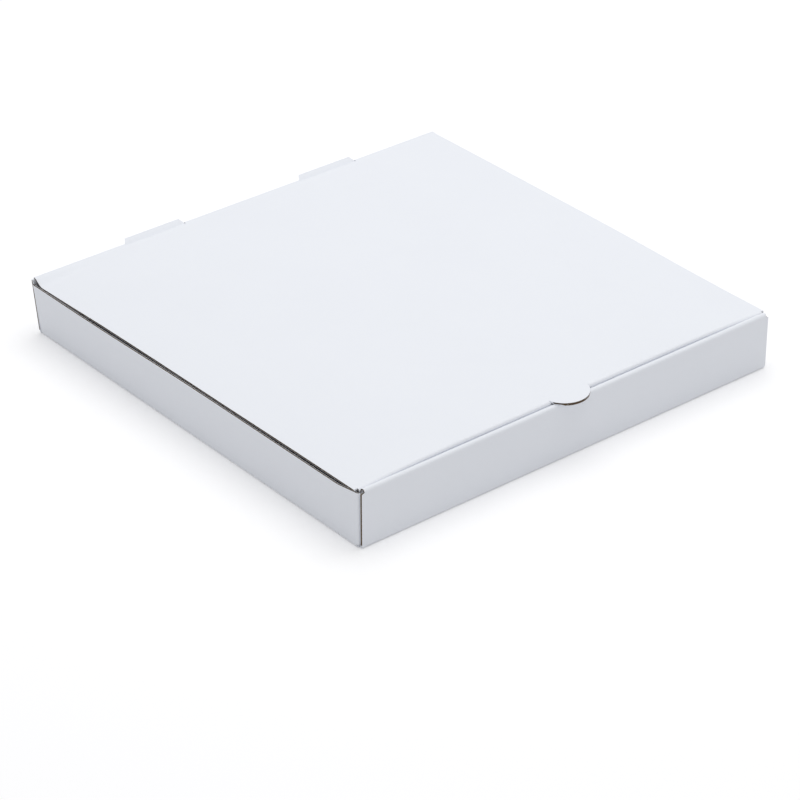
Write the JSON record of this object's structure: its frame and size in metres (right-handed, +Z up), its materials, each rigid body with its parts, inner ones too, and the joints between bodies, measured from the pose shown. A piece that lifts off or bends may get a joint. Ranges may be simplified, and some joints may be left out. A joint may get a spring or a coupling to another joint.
{
  "type": "square shipping box",
  "caption": "Flat square box folded from white fluted board, with a rolled-over front wall, a tuck-in hinged lid and a half-moon thumb tab.",
  "frame": {"origin": "centre of the floor's underside, on the surface that the box stands on", "axes": "+Z up; -Y toward the front wall with the thumb tab; +Y toward the hinge; +X to the right seen from the front"},
  "size_m": [0.4, 0.4115, 0.0521],
  "materials": {
    "tray_board": "matt white-lined fluted board",
    "lid_board": "matt white-lined fluted board"
  },
  "bodies": {
    "tray": {"tray": "tray_board"},
    "lid": {"lid": "lid_board"}
  },
  "joints": [
    {"name": "lid_hinge", "type": "hinge", "parent": "tray", "child": "lid", "pos_m": [0, 0.19925, 0.04925], "axis": [-1, 0, 0], "range_deg": [0, 115]}
  ]
}
